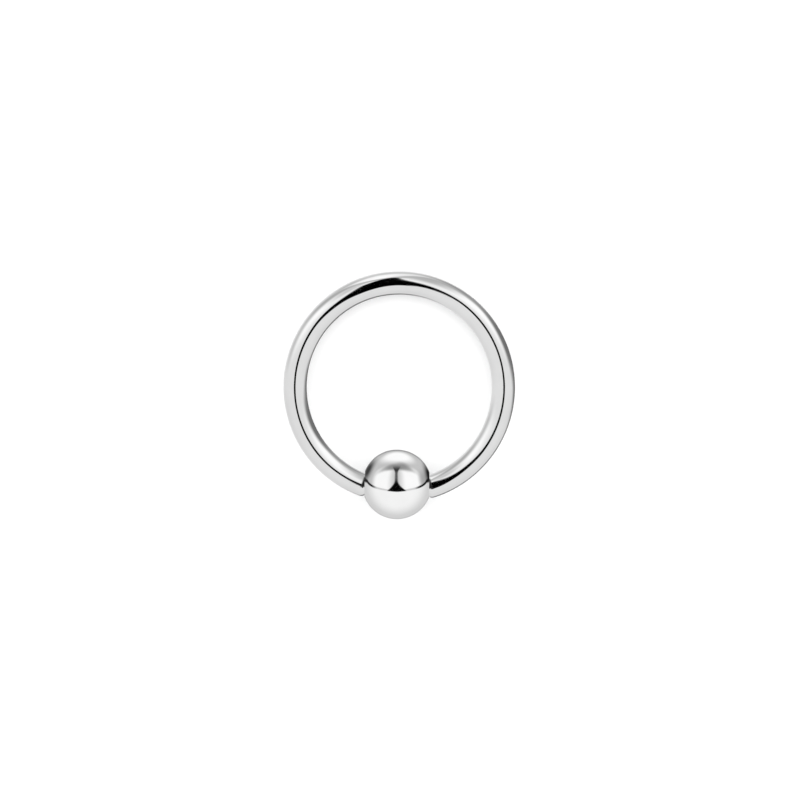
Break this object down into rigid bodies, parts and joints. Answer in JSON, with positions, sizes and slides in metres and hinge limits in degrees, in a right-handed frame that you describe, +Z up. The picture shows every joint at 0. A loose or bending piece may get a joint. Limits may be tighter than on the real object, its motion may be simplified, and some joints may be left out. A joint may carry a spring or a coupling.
{
  "type": "captive bead ring",
  "caption": "Body jewellery ring of round polished steel wire with a steel ball held captive between its two ends.",
  "frame": {"origin": "on the surface that the ring lies on, under the middle of the whole ring", "axes": "+Z up from that surface; +Y from the bead across the hoop to its far side; +X along the line that the bead turns about"},
  "size_m": [0.01, 0.0106, 0.003],
  "materials": {
    "wire_steel": "polished",
    "bead_steel": "polished"
  },
  "bodies": {
    "ring": {"wire_ring": "wire_steel"},
    "bead": {"captive_bead": "bead_steel"}
  },
  "joints": [
    {"name": "bead_spin", "type": "hinge", "parent": "ring", "child": "bead", "pos_m": [0, -0.00382, 0.0015], "axis": [1, 0, 0], "continuous": true}
  ]
}
